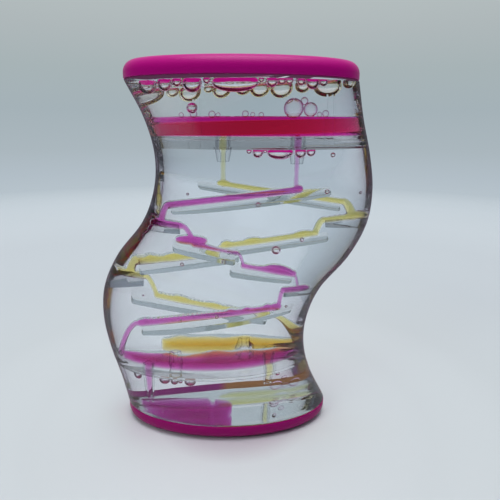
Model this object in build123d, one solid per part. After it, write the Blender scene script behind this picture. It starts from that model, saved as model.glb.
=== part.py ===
import os
from math import atan2, degrees, hypot

from build123d import *

# Liquid motion timer. A clear S-shaped vessel stands on either of two magenta end caps. A centre panel
# parts it into a front chamber and a rear chamber. In each, a coloured liquid drips from the upper tray,
# runs down ramps and ledges to the lower tray, and drains to the bottom. Half a turn about the
# front-to-back axis starts it again, so every inner piece has a twin half a turn away.
# +Z is up, +Y goes to the rear, and the origin is under the middle of the vessel, on the table.

# Vessel
body_width = 86.0  # side to side at either cap
body_depth = 44.5
body_height = 132.0  # between the caps
wall = 2.5  # measured level
end_wall = 2.0
panel_thickness = 2.0
fit_gap = 0.1  # cement gap between an inner piece and the vessel wall

# Reach of the vessel's right edge from its axis at even levels, from the bottom up, as shares of
# body_width. The left edge is the same curve turned over.
edge_shares = (0.463, 0.387, 0.348, 0.358, 0.419, 0.542, 0.615, 0.630, 0.607, 0.567, 0.537)

# Caps and their seat
cap_height = 6.5
cap_edge_radius = 4.5
cap_wall = 2.0
cap_top_wall = 2.0
spigot_height = 3.0
spigot_wall = 1.5
filler_hole = 6.0  # diameter
plug_head = 9.0  # diameter
plug_head_height = 1.5
plug_clearance = 0.05

# Trays, with a drip nozzle and a riser in each. Places from side to side are shares of body_width,
# levels are shares of half the height, both from the middle of the vessel.
tray_level_share = 0.647  # the tray's near face
tray_thickness = 3.2
well_offset_share = 0.405  # of half the depth: nozzles and risers stand this far from the middle
front_nozzle_share = 0.261
rear_nozzle_share = -0.024
nozzle_root = 6.0  # diameter at the tray
nozzle_tip = 4.2
nozzle_drop = 5.8
nozzle_bore = 1.8
nozzle_funnel = 4.0  # the bore's wide end, inside the tray
nozzle_funnel_drop = 2.6  # how far below the tray the funnel ends
nozzle_shank = 5.0
front_riser_share = 0.384
rear_riser_share = -0.130
riser_root = 4.8
riser_tip = 3.0
riser_clearance = 3.7  # between a riser and the end wall
riser_bore_root = 3.6
riser_bore_tip = 1.8
riser_shank = 4.4
press_gap = 0.05

# Ramps, from the high end to the low end of each centre line
ramp_thickness = 2.2
front_long_high_share = (0.405, 0.412)
front_long_low_share = (-0.257, 0.291)
front_short_high_share = (-0.252, 0.089)
front_short_low_share = (0.012, 0.032)
rear_long_high_share = (-0.128, 0.417)
rear_long_low_share = (0.451, 0.297)
rear_short_high_share = (0.406, 0.130)
rear_short_low_share = (-0.027, 0.015)

# Wedge ledges: the middle of the wedge at its tip and near the wall
front_ledge_tip_share = (-0.219, 0.182)
front_ledge_root_share = (-0.360, 0.192)
rear_ledge_tip_share = (0.392, 0.200)
rear_ledge_root_share = (0.529, 0.220)
ledge_tip_thickness = 1.0
ledge_root_thickness = 5.0
ledge_tuck = 12.0  # the wedge is drawn past the wall, then cut by it

# Liquids
front_pool_depth = 7.2
rear_pool_depth = 6.3
stream_thickness = 1.8
stream_breadth = 3.6
drop_reach = 3.2  # how far past a ramp's low end the stream falls
front_landing_share = -0.519  # where each stream meets the lower tray
rear_landing_share = 0.256
front_tray_pool_share = (-0.500, 0.337)  # from one side to the other
rear_tray_pool_share = (-0.334, 0.279)
front_tray_pool_depth = 3.6
rear_tray_pool_depth = 4.4
front_bottom_pool_share = (-0.430, -0.009)
rear_bottom_pool_share = (-0.081, 0.349)
bottom_pool_depth = 5.0
pool_shore = 1.5  # a pool that doesn't fill its chamber stops this far from the wall
pool_corner = 6.0
nozzle_moat = 0.6  # a pool's edge stands this far from a nozzle

# Derived sizes
half_height = body_height / 2
panel_half = panel_thickness / 2
middle_z = cap_height + half_height  # height of the vessel's middle above the table
chamber_half = half_height - end_wall
tray_level = tray_level_share * half_height
tray_outer = tray_level + tray_thickness
well_offset = well_offset_share * body_depth / 2
nozzle_end = tray_level - nozzle_drop
riser_end = chamber_half - riser_clearance
ring_inset = cap_wall + fit_gap  # the rim on a shell's end wall stands inside the cap's wall
filler_offset = (panel_half + body_depth / 2 - ring_inset - spigot_wall) / 2  # midway to the rim
overrun = body_depth  # used by every cut that passes right through

FRONT, REAR = -1, 1
UPPER, LOWER = 1, -1


# Shape of the vessel
def right_edge(z):
    # A smooth curve through the edge shares
    last = len(edge_shares) - 1
    place = (z / half_height + 1) / 2 * last
    index = min(int(place), last - 1)
    t = place - index
    low, high = edge_shares[index], edge_shares[index + 1]
    before = edge_shares[index - 1] if index > 0 else 2 * low - high
    after = edge_shares[index + 2] if index < last - 1 else 2 * high - low
    slope_low, slope_high = (high - before) / 2, (after - low) / 2
    share = (low * (1 + 2 * t) * (1 - t) ** 2 + high * t * t * (3 - 2 * t)
             + slope_low * t * (1 - t) ** 2 - slope_high * t * t * (1 - t))
    return body_width * share


def centre_x(z):
    return (right_edge(z) - right_edge(-z)) / 2


def half_width(z):
    return (right_edge(z) + right_edge(-z)) / 2


def vessel_solid(inset, z_low, z_high):
    # Level elliptical sections, lofted along the S
    step = (z_high - z_low) / (len(edge_shares) - 1)
    sections = []
    for index in range(len(edge_shares)):
        z = z_low + index * step
        plane = Plane(origin=(centre_x(z), 0, z))
        sections.append(plane * Ellipse(half_width(z) - inset, body_depth / 2 - inset))
    return loft(sections)


def side_half(solid, side):
    # The part of a solid that lies in front of or behind the centre panel
    keep = Pos(0, side * (panel_half + overrun), 0) * Box(4 * overrun, 2 * overrun, 8 * overrun)
    return solid & keep


def band(z_low, z_high):
    size = z_high - z_low
    return Pos(0, 0, (z_low + z_high) / 2) * Box(4 * overrun, 4 * overrun, size)


def flipped(solid):
    # The twin of an inner piece, half a turn about the front-to-back axis
    return solid.rotate(Axis.Y, 180)


def twin(point):
    return -point[0], -point[1]


def one_solid(shape):
    solids = shape.solids()
    return solids[0] if len(solids) == 1 else Compound(children=list(solids))


outer = vessel_solid(0, -half_height, half_height)
cavity = vessel_solid(wall, -chamber_half, chamber_half)
room = vessel_solid(wall + fit_gap, -chamber_half, chamber_half)  # where the inner pieces fit


# Shells and centre panel
def end_ring(end):
    # The rim on a shell's end wall that enters the cap
    plane = Plane(origin=(centre_x(end * half_height), 0, end * half_height))
    a = body_width / 2 - ring_inset
    b = body_depth / 2 - ring_inset
    face = Ellipse(a, b) - Ellipse(a - spigot_wall, b - spigot_wall)
    return extrude(plane * face, end * spigot_height)


def filler_place(side):
    return centre_x(half_height), side * filler_offset


def make_shell(side):
    shell = outer - cavity
    for end in (UPPER, LOWER):
        shell += end_ring(end)
    shell = side_half(shell, side)
    x, y = filler_place(side)
    return shell - Pos(x, y, half_height) * Cylinder(filler_hole / 2, 4 * end_wall)


def make_panel():
    slab = Box(4 * overrun, panel_thickness, 8 * overrun)
    return outer & slab


def make_plug(side):
    x, y = filler_place(side)
    stem = Cylinder(filler_hole / 2 - plug_clearance, end_wall,
                    align=(Align.CENTER, Align.CENTER, Align.MAX))
    head = Cylinder(plug_head / 2, plug_head_height, align=(Align.CENTER, Align.CENTER, Align.MIN))
    return Pos(x, y, half_height) * (stem + head)


# Caps
def make_cap(end):
    plane = Plane(origin=(centre_x(end * half_height), 0, end * half_height))
    a, b = body_width / 2, body_depth / 2
    block = extrude(plane * Ellipse(a, b), end * cap_height)
    face = block.faces().sort_by(Axis.Z)[-1 if end == UPPER else 0]
    block = fillet(face.edges(), cap_edge_radius)
    hollow = extrude(plane * Ellipse(a - cap_wall, b - cap_wall), end * (cap_height - cap_top_wall))
    return block - hollow


# Trays
def placed_at(share):
    # A point in X and Z from its shares of the width and of half the height
    return share[0] * body_width, share[1] * half_height


def well_places(side):
    nozzle_share = front_nozzle_share if side == FRONT else rear_nozzle_share
    riser_share = front_riser_share if side == FRONT else rear_riser_share
    return [(share * body_width, side * well_offset) for share in (nozzle_share, riser_share)]


def make_tray(side):
    tray = side_half(room & band(tray_level, tray_outer), side)
    for (x, y), shank in zip(well_places(side), (nozzle_shank, riser_shank)):
        tray -= Pos(x, y, tray_level) * Cylinder(shank / 2 + press_gap, 4 * tray_thickness)
    return tray


def turned(points):
    # A solid of revolution about Z from radius and height pairs
    profile = make_face(Polyline(*[(r, 0, z) for r, z in points], close=True))
    return revolve(profile, Axis.Z, 360)


def make_nozzle(side):
    x, y = well_places(side)[0]
    points = [
        (nozzle_bore / 2, nozzle_end),
        (nozzle_tip / 2, nozzle_end),
        (nozzle_root / 2, tray_level),
        (nozzle_shank / 2, tray_level),
        (nozzle_shank / 2, tray_outer),
        (nozzle_funnel / 2, tray_outer),
        (nozzle_funnel / 2, tray_level),
        (nozzle_bore / 2, tray_level - nozzle_funnel_drop),
    ]
    return Pos(x, y, 0) * turned(points)


def make_riser(side):
    x, y = well_places(side)[1]
    points = [
        (riser_bore_root / 2, tray_level),
        (riser_shank / 2, tray_level),
        (riser_shank / 2, tray_outer),
        (riser_root / 2, tray_outer),
        (riser_tip / 2, riser_end),
        (riser_bore_tip / 2, riser_end),
    ]
    return Pos(x, y, 0) * turned(points)


# Ramps and ledges
def along_y(face, side, near, far):
    # Extrudes a face drawn in X and Z from one distance behind the panel's middle to another
    placed = Plane(origin=(0, side * near, 0), x_dir=(1, 0, 0), z_dir=(0, side, 0)) * face
    return extrude(placed, far - near)


def drawn(side, points):
    # Points in X and Z, as the plane used by along_y sees them
    return [(x, -side * z) for x, z in points]


def ramp_prism(side, high, low):
    length = hypot(low[0] - high[0], low[1] - high[1])
    (x_1, y_1), (x_2, y_2) = drawn(side, (high, low))
    slot = SlotCenterToCenter(length - ramp_thickness, ramp_thickness)
    angle = degrees(atan2(y_2 - y_1, x_2 - x_1))
    face = Pos((x_1 + x_2) / 2, (y_1 + y_2) / 2) * Rot(0, 0, angle) * slot
    return along_y(face, side, panel_half, body_depth / 2)


def ledge_prism(side, tip, root):
    way = 1 if root[0] > tip[0] else -1
    outline = drawn(side, [
        (tip[0], tip[1] + ledge_tip_thickness / 2),
        (root[0], root[1] + ledge_root_thickness / 2),
        (root[0] + way * ledge_tuck, root[1] + ledge_root_thickness / 2),
        (root[0] + way * ledge_tuck, root[1] - ledge_root_thickness / 2),
        (root[0], root[1] - ledge_root_thickness / 2),
        (tip[0], tip[1] - ledge_tip_thickness / 2),
    ])
    return along_y(make_face(Polyline(*outline, close=True)), side, panel_half, body_depth / 2)


# Liquids
def top_of(line, x):
    # Level of a ramp's or a ledge's upper face at x, from two points on its centre line
    (x_1, z_1, t_1), (x_2, z_2, t_2) = line
    share = (x - x_1) / (x_2 - x_1)
    return z_1 + share * (z_2 - z_1) + (t_1 + share * (t_2 - t_1)) / 2


def ramp_line(high, low):
    thick = ramp_thickness * hypot(low[0] - high[0], low[1] - high[1]) / abs(low[0] - high[0])
    return (*high, thick), (*low, thick)


def ledge_line(tip, root):
    return (*tip, ledge_tip_thickness), (*root, ledge_root_thickness)


def stream_points(side):
    # Nozzle, long ramp, ledge, short ramp, then the same four the other way round, and the tray
    lift = stream_thickness / 2
    long_high, long_low = ramp_lines[side, "long"]
    short_high, short_low = ramp_lines[side, "short"]
    tip, root = ledge_lines[side]
    way = 1 if long_low[0] > long_high[0] else -1
    long_ramp, short_ramp = ramp_line(long_high, long_low), ramp_line(short_high, short_low)
    ledge = ledge_line(tip, root)
    twin_short_low = twin(short_high)
    twin_long_low = twin(long_high)
    twin_short = ramp_line(twin(short_low), twin_short_low)
    twin_long = ramp_line(twin(long_low), twin_long_low)
    twin_ledge = ledge_line(twin(tip), twin(root))
    nozzle_x = well_places(side)[0][0]
    landing_x = (front_landing_share if side == FRONT else rear_landing_share) * body_width
    walk = [
        (nozzle_x, long_ramp),
        (long_low[0], long_ramp),
        (long_low[0] + way * drop_reach, ledge),
        (tip[0], ledge),
        (tip[0] - way * drop_reach, short_ramp),
        (short_low[0], short_ramp),
        (short_low[0] - way * drop_reach, twin_short),
        (twin_short_low[0], twin_short),
        (twin_short_low[0] - way * drop_reach, twin_ledge),
        (-tip[0], twin_ledge),
        (-tip[0] + way * drop_reach, twin_long),
        (twin_long_low[0], twin_long),
    ]
    points = [(nozzle_x, nozzle_end)]
    points += [(x, top_of(line, x) + lift) for x, line in walk]
    points.append((landing_x, lift - tray_level))
    return points


def ribbon(points, thickness):
    # A band of even thickness along a path, with mitred corners
    half = thickness / 2
    runs = []
    for (x_1, y_1), (x_2, y_2) in zip(points, points[1:]):
        length = hypot(x_2 - x_1, y_2 - y_1)
        runs.append(((y_1 - y_2) / length, (x_2 - x_1) / length))
    normals = [runs[0]]
    for (a_x, a_y), (b_x, b_y) in zip(runs, runs[1:]):
        spread = 1 + a_x * b_x + a_y * b_y
        normals.append(((a_x + b_x) / spread, (a_y + b_y) / spread))
    normals.append(runs[-1])
    left = [(x + half * n_x, y + half * n_y) for (x, y), (n_x, n_y) in zip(points, normals)]
    right = [(x - half * n_x, y - half * n_y) for (x, y), (n_x, n_y) in zip(points, normals)]
    return make_face(Polyline(*left, *reversed(right), close=True))


def stream_prism(side):
    face = ribbon(drawn(side, stream_points(side)), stream_thickness)
    near, far = well_offset - stream_breadth / 2, well_offset + stream_breadth / 2
    return along_y(face, side, near, far)


def pool_block(side, span_share, depth):
    # A pool's outline seen from above, not yet cut by the vessel wall
    breadth = body_depth / 2 - wall - panel_half - pool_shore
    left, right = (share * body_width for share in span_share)
    x, y = (left + right) / 2, side * (panel_half + breadth / 2)
    outline = RectangleRounded(right - left, breadth, pool_corner)
    return Pos(x, y, 0) * extrude(outline, depth)


def well_column(place, diameter, z_low, z_high):
    column = Cylinder(diameter / 2, z_high - z_low, align=(Align.CENTER, Align.CENTER, Align.MIN))
    return Pos(*place, z_low) * column


def well_room(side):
    # Square columns round a nozzle and a riser, where the clear liquid stays out
    nozzle_place, riser_place = well_places(side)
    tall = (Align.CENTER, Align.CENTER, Align.MAX)
    nozzle = Pos(*nozzle_place, tray_outer) * Box(nozzle_root, nozzle_root, tray_outer - nozzle_end,
                                                  align=tall)
    riser = Pos(*riser_place, riser_end) * Box(riser_root, riser_root, riser_end - tray_level,
                                               align=tall)
    return nozzle, riser


def nozzle_thread(place):
    # The liquid inside a nozzle
    narrow, wide = nozzle_bore / 2 - press_gap, nozzle_funnel / 2 - press_gap
    return Pos(*place, 0) * turned([
        (0, nozzle_end),
        (narrow, nozzle_end),
        (narrow, tray_level - nozzle_funnel_drop),
        (wide, tray_level),
        (wide, tray_outer),
        (0, tray_outer),
    ])


def riser_thread(place):
    # The liquid inside a riser
    wide, narrow = riser_bore_root / 2 - press_gap, riser_bore_tip / 2 - press_gap
    return Pos(*place, 0) * turned([
        (0, tray_level),
        (wide, tray_level),
        (narrow, riser_end),
        (0, riser_end),
    ])


def make_liquids(side):
    # The coloured liquid as five solids, and the clear liquid round them as three
    nozzle_place, riser_place = well_places(side)
    low_nozzle = (-nozzle_place[0], nozzle_place[1])
    low_riser = (-riser_place[0], riser_place[1])
    pool_depth = front_pool_depth if side == FRONT else rear_pool_depth
    pool_band = band(tray_outer, tray_outer + pool_depth)
    tray_span = front_tray_pool_share if side == FRONT else rear_tray_pool_share
    tray_depth = front_tray_pool_depth if side == FRONT else rear_tray_pool_depth
    bottom_span = front_bottom_pool_share if side == FRONT else rear_bottom_pool_share
    bottom_top = bottom_pool_depth - chamber_half
    shore = vessel_solid(wall + pool_shore, -chamber_half, chamber_half)

    top_pool = side_half(room & pool_band, side)
    tray_block = Pos(0, 0, -tray_level) * pool_block(side, tray_span, tray_depth)
    tray_block -= well_column(low_nozzle, nozzle_root + 2 * nozzle_moat, -tray_level,
                              tray_depth - tray_level)
    tray_block &= shore
    bottom_block = Pos(0, 0, -chamber_half) * pool_block(side, bottom_span, bottom_pool_depth)
    bottom_block &= shore
    bottom_block -= well_column(low_riser, riser_root, -riser_end, bottom_top)
    drain = flipped(riser_thread(riser_place))
    stream = (stream_prism(side) & shore) - tray_block
    for prism in prisms[side]:
        stream -= prism
    stream += nozzle_thread(nozzle_place)
    top_pool -= well_column(riser_place, riser_root, tray_outer, tray_outer + pool_depth)
    wells = well_room(side)
    wells += tuple(flipped(well) for well in wells)
    names = ("upper_pool", "stream", "tray_pool", "drain", "bottom_pool")
    colour = colours[side]
    made = {f"{colour}_{name}": solid
            for name, solid in zip(names, (top_pool, stream, tray_block, drain, bottom_block))}
    clear_bands = {
        "upper": (tray_outer + pool_depth, chamber_half),
        "middle": (-tray_level, tray_level),
        "lower": (-chamber_half, -tray_outer),
    }
    for name, (z_low, z_high) in clear_bands.items():
        clear = side_half(room & band(z_low, z_high), side)
        for taken in (*prisms[side], *wells, stream, tray_block, bottom_block, drain):
            clear -= taken
        made[f"{side_names[side]}_{name}_clear_liquid"] = clear
    return made


ramp_lines = {
    (FRONT, "long"): (placed_at(front_long_high_share), placed_at(front_long_low_share)),
    (FRONT, "short"): (placed_at(front_short_high_share), placed_at(front_short_low_share)),
    (REAR, "long"): (placed_at(rear_long_high_share), placed_at(rear_long_low_share)),
    (REAR, "short"): (placed_at(rear_short_high_share), placed_at(rear_short_low_share)),
}
ledge_lines = {
    FRONT: (placed_at(front_ledge_tip_share), placed_at(front_ledge_root_share)),
    REAR: (placed_at(rear_ledge_tip_share), placed_at(rear_ledge_root_share)),
}
side_names = {FRONT: "front", REAR: "rear"}
colours = {FRONT: "pink", REAR: "yellow"}

parts = {}
prisms = {FRONT: [], REAR: []}  # the uncut inner pieces, which the clear liquid leaves room for


def add(name, shape):
    parts[name] = Pos(0, 0, middle_z) * one_solid(shape)


for side, name in side_names.items():
    add(f"{name}_shell", make_shell(side))
    add(f"{name}_filler_plug", make_plug(side))
    for (ramp_side, kind), (high, low) in ramp_lines.items():
        if ramp_side == side:
            prism = ramp_prism(side, high, low)
            prisms[side] += [prism, flipped(prism)]
            ramp = room & prism
            add(f"{name}_{kind}_ramp_upper", ramp)
            add(f"{name}_{kind}_ramp_lower", flipped(ramp))
    prism = ledge_prism(side, *ledge_lines[side])
    prisms[side] += [prism, flipped(prism)]
    ledge = room & prism
    add(f"{name}_ledge_upper", ledge)
    add(f"{name}_ledge_lower", flipped(ledge))
    for kind, maker in (("tray", make_tray), ("nozzle", make_nozzle), ("riser", make_riser)):
        piece = maker(side)
        add(f"upper_{name}_{kind}", piece)
        add(f"lower_{name}_{kind}", flipped(piece))
    for liquid_name, liquid in make_liquids(side).items():
        add(liquid_name, liquid)

add("centre_panel", make_panel())
add("top_cap", make_cap(UPPER))
add("bottom_cap", make_cap(LOWER))

os.makedirs("parts", exist_ok=True)
for name, shape in parts.items():
    export_step(shape, f"parts/{name}.step")
print(len(parts), "parts")
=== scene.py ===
from math import asin, copysign, cos, exp, pi, radians, sin, sqrt

import bmesh
import bpy
from mathutils import Matrix, Vector


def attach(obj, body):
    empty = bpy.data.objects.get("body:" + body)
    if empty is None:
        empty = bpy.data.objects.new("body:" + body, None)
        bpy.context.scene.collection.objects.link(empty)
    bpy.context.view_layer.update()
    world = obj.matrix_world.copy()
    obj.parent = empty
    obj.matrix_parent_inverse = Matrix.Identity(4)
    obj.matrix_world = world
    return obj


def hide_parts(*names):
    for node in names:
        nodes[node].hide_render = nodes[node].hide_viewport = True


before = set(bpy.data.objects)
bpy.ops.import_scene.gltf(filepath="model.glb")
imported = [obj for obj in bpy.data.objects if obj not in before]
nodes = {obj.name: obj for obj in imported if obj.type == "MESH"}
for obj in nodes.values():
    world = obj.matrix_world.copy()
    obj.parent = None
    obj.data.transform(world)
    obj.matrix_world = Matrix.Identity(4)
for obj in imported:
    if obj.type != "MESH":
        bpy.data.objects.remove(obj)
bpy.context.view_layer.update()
scene = bpy.context.scene
mm = 0.001
front, rear = -1, 1
sideNames = {front: "front", rear: "rear"}


# A Wire is an output socket, and sums on Wires add Math nodes
class Wire:
    def __init__(self, tree, socket):
        self.tree = tree
        self.socket = socket

    def maths(self, operation, *values):
        return self.tree.add("ShaderNodeMath", dict(enumerate(values)), operation=operation)

    def __add__(self, other):
        return self.maths("ADD", self, other)

    __radd__ = __add__

    def __sub__(self, other):
        return self.maths("SUBTRACT", self, other)

    def __rsub__(self, other):
        return self.maths("SUBTRACT", other, self)

    def __mul__(self, other):
        return self.maths("MULTIPLY", self, other)

    def clipped(self):
        return self.maths("MINIMUM", self.maths("MAXIMUM", self, 0.0), 1.0)


class Tree:
    def __init__(self, owner):
        if isinstance(owner, bpy.types.NodeTree):
            inner = owner
        else:
            owner.use_nodes = True
            inner = owner.node_tree
        self.owner = owner
        self.nodes = inner.nodes
        self.links = inner.links
        self.nodes.clear()

    def add(self, kind, values=None, output=0, **settings):
        node = self.nodes.new(kind)
        for name, value in settings.items():
            if name == "stops":
                ramp = node.color_ramp
                while len(ramp.elements) < len(value):
                    ramp.elements.new(0.5)
                for element, (place, colour) in zip(ramp.elements, value):
                    element.position = place
                    element.color = (*colour, 1)
            else:
                setattr(node, name, value)
        for key, value in (values or {}).items():
            if isinstance(value, Wire):
                self.links.new(value.socket, node.inputs[key])
            else:
                node.inputs[key].default_value = value
        return Wire(self, node.outputs[output]) if node.outputs else None

    def finish(self, surface, volume=None):
        isWorld = isinstance(self.owner, bpy.types.World)
        self.add("ShaderNodeOutputWorld" if isWorld else "ShaderNodeOutputMaterial",
                 {"Surface": surface} | ({"Volume": volume} if volume else {}))
        return self.owner


def newObject(name, data):
    thing = bpy.data.objects.new(name, data)
    scene.collection.objects.link(thing)
    return thing


def newTree(name):
    return Tree(bpy.data.materials.new(name))


def mixShader(tree, factor, first, second):
    return tree.add("ShaderNodeMixShader", {0: factor, 1: first, 2: second})


def mixColour(tree, factor, first, second):
    return tree.add("ShaderNodeMix", {0: factor, 6: first, 7: second}, 2, data_type="RGBA")


def objectPlace(tree):
    return tree.add("ShaderNodeTexCoord", output=3)


def partOf(tree, vector, index):
    return tree.add("ShaderNodeSeparateXYZ", {0: vector}, index)


# Materials
plasticIndex, liquidIndex = 1.5, 1.44
wetRatio, airRatio = plasticIndex / liquidIndex, 1 / liquidIndex
white = (1, 1, 1)
rampColour = (0.28, 0.33, 0.3)
# Index against what is round it, tint, tint of lamplight, colour and density inside, rippled or not,
# and the colour painted towards the outline as painted shade and reflection
clearLooks = {
    "clearPlasticOutside": (plasticIndex, white, (0.985, 0.985, 0.985), None, True, (0.36, 0.27, 0.33)),
    "clearPlasticRim": (plasticIndex, white, (0.985, 0.985, 0.985), None, True, None),
    "clearPlasticWet": (wetRatio, (0.972, 0.982, 0.992), white, None, True, (0.6, 0.52, 0.57)),
    "clearPlasticEnd": (wetRatio, (0.87, 0.89, 0.905), white, None, True, None),
    "clearPlasticInner": (1.022, white, (0.98, 0.98, 0.98), (rampColour, 22.0), True, None),
    "clearPlasticTray": (wetRatio, white, (0.97, 0.97, 0.97), ((0.44, 0.41, 0.42), 24.0), False, None),
    "clearPlasticWell": (wetRatio, white, (0.98, 0.98, 0.98), (rampColour, 10.0), False, (0.62, 0.62, 0.65)),
    "clearPlasticTube": (wetRatio, white, (0.98, 0.98, 0.98), (rampColour, 10.0), False, None),
    "airBubble": (airRatio, white, white, None, False, (0.78, 0.3, 0.56)),
    "airBubbleRear": (airRatio, (1, 0.985, 0.94), white, None, False, (0.78, 0.62, 0.14)),
    "bubbleFilm": (0.95, (1, 0.975, 0.99), white, None, False, (0.6, 0.12, 0.42)),
}
paintedOutline = {
    "share": 1.3,
    # Share of the painted outline colour that is left at the foot, by the lit table, and its rise per metre
    "footShare": 0.35,
    "footRise": 30.0,
}
ripple = {"scale": 90.0, "detail": 1.0, "strength": 0.03, "distance": 0.002}


def uneven(tree, place, scale, detail, strength, distance):
    noise = tree.add("ShaderNodeTexNoise", {"Vector": place, "Scale": scale, "Detail": detail})
    return tree.add("ShaderNodeBump", {"Strength": strength, "Distance": distance, "Height": noise})


def clearMaterial(name, index, tint, shadowTint, volume, isRippled, paintedOutlineColour):
    # Lamps shine straight through, so that what is inside is lit
    tree = newTree(name)
    values = {"Color": (*tint, 1), "IOR": index}
    if isRippled:
        values["Normal"] = uneven(tree, objectPlace(tree), **ripple)
    glass = tree.add("ShaderNodeBsdfGlass", values)
    if paintedOutlineColour:
        # Painted shade and reflection: towards its outline the glass takes the outline colour, less near the lit
        # table
        facing = tree.add("ShaderNodeLayerWeight", output=1)
        height = partOf(tree, objectPlace(tree), 2)
        lifted = (height * paintedOutline["footRise"]).clipped() * (1 - paintedOutline["footShare"]) + paintedOutline["footShare"]
        share = (facing * facing * paintedOutline["share"]).clipped() * lifted
        paintedOutlineGlass = tree.add("ShaderNodeBsdfGlass", values | {"Color": (*paintedOutlineColour, 1)})
        glass = mixShader(tree, share, glass, paintedOutlineGlass)
    through = tree.add("ShaderNodeBsdfTransparent", {"Color": (*shadowTint, 1)})
    isShadow = tree.add("ShaderNodeLightPath", output=1)
    surface = mixShader(tree, isShadow, glass, through)
    inside = None
    if volume:
        inside = tree.add("ShaderNodeVolumeAbsorption", {"Color": (*volume[0], 1), "Density": volume[1]})
    return tree.finish(surface, inside)


capLook = {
    "colour": (0.475, 0.001, 0.212),
    # The deeper colour: random clouds in the plastic, and painted shade on the lower cap
    "deep": (0.33, 0.001, 0.142),
    # Fading of the painted shade per metre of height
    "paintedShadeFade": 25.0,
    "roughness": 0.32,
    "gloss": 0.11,
    # Clouds: scale, share of the deep colour, and spread of the roughness
    "cloud": (40.0, 0.3, 0.08),
    "grain": {"scale": 1800.0, "detail": 2.0, "strength": 0.08, "distance": 0.0001},
}
glows = {
    # Painted daylight through the cap, in its recess and on the flat tops of hanging bubbles
    "underside": ((0.52, 0.0, 0.24),),
    # Painted shade: a dark mauve glow on the shell's rounded top end, where the cap shows through the joint
    "bond": ((0.11, 0.035, 0.085),),
    # Painted reflection: a glowing band on the rear foot, purple to the left and brown to the right
    "ring": ((0.17, 0.004, 0.12), (0.22, 0.095, 0.025)),
    # Scale and share of the clouds
    "cloud": (60.0, 0.4),
    # Where the second colour starts, in metres left of the middle, and its rise
    "turn": (0.008, 300.0),
}


def capMaterial():
    tree = newTree("magentaPlastic")
    place = objectPlace(tree)
    scale, cloudShare, spread = capLook["cloud"]
    cloud = tree.add("ShaderNodeTexNoise", {"Vector": place, "Scale": scale, "Detail": 3.0})
    # Painted shade: the lower cap is painted a little deeper, as if in the vessel's own shade
    depth = 1 - (partOf(tree, place, 2) * capLook["paintedShadeFade"]).clipped()
    share = (cloud * cloudShare + depth).clipped()
    colour = mixColour(tree, share, (*capLook["colour"], 1), (*capLook["deep"], 1))
    return tree.finish(tree.add("ShaderNodeBsdfPrincipled", {
        "Base Color": colour, "Roughness": capLook["roughness"] + cloud * spread,
        "Normal": uneven(tree, place, **capLook["grain"]), "Specular IOR Level": capLook["gloss"]}))


def glowMaterial(name, colour, farColour=None):
    # Painted light: a glow with no lamp behind it, in one colour or two from side to side, for daylight through the
    # cap and for painted shade and reflection on the vessel
    tree = newTree(name)
    place = objectPlace(tree)
    (cloudScale, cloudShare), (turn, turnRise) = glows["cloud"], glows["turn"]
    cloud = tree.add("ShaderNodeTexNoise", {"Vector": place, "Scale": cloudScale})
    across = ((partOf(tree, place, 0) + turn) * turnRise).clipped()
    shade = mixColour(tree, across, (*colour, 1), (*(farColour or colour), 1))
    shade = mixColour(tree, cloud * cloudShare + (1 - cloudShare), (0, 0, 0, 1), shade)
    return tree.finish(tree.add("ShaderNodeEmission", {"Color": shade}))


clear = {name: clearMaterial(name, *look) for name, look in clearLooks.items()}
# The colour that gets through, and how strongly the rest is absorbed
liquidLooks = {
    "pinkBand": ((0.97, 0.02, 0.76), 270.0),
    "pinkPool": ((0.88, 0.03, 0.71), 510.0),
    "pinkFloor": ((0.86, 0.03, 0.72), 360.0),
    "pinkStream": ((0.84, 0.03, 0.7), 400.0),
    "yellowBand": ((0.95, 0.72, 0.03), 95.0),
    "yellowPool": ((0.955, 0.79, 0.03), 250.0),
    "yellowFloor": ((0.9, 0.84, 0.1), 230.0),
    "yellowStream": ((0.965, 0.85, 0.03), 290.0),
}
liquidRatios = {"Band": 0.963, "Pool": 0.963, "Floor": 0.978, "Stream": 1.345 / liquidIndex}
dyed = {}
for colour, shadowTint in (("pink", (0.95, 0.55, 0.85)), ("yellow", (0.98, 0.93, 0.7))):
    for kind, ratio in liquidRatios.items():
        name = colour + kind
        dyed[name] = clearMaterial(name, ratio, white, shadowTint, liquidLooks[name], True, None)
seam = newTree("cementedSeam")
seamClear = seam.finish(seam.add("ShaderNodeBsdfTransparent"))
magenta = capMaterial()
paintedCapDaylight = glowMaterial("paintedCapDaylight", *glows["underside"])
paintedJoinShade = glowMaterial("capBond", *glows["bond"])
paintedFootBand = glowMaterial("paintedFootRing", *glows["ring"])
print("materials made")


# Shape of the vessel, level by level, in millimetres from its middle
vessel = {
    "width": 86.0,
    "depth": 44.5,
    "height": 132.0,
    "capHeight": 6.5,
    "wall": 2.5,
    "endWall": 1.0,
    "panelThickness": 2.0,
    "seamGap": 0.03,
    "endSoft": 0.5,
    "endGap": 0.03,
    # The right edge at even steps from the foot up, as shares of the width
    "edgeShares": (0.463, 0.387, 0.348, 0.358, 0.419, 0.542, 0.615, 0.63, 0.607, 0.567, 0.537),
    "levels": 132,
    "levelGap": 0.3,
    "columns": 80,
    "rimSteps": 4,
    # Rows of points in the cemented foot, and width of the cement under the wall
    "footRows": {front: 5, rear: 6},
    "footRing": 0.6,
}
halfHeight = vessel["height"] / 2
middle = vessel["capHeight"] + halfHeight
width, wall, panelHalf = vessel["width"], vessel["wall"], vessel["panelThickness"] / 2
chamberHalf = halfHeight - vessel["endWall"]


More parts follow.
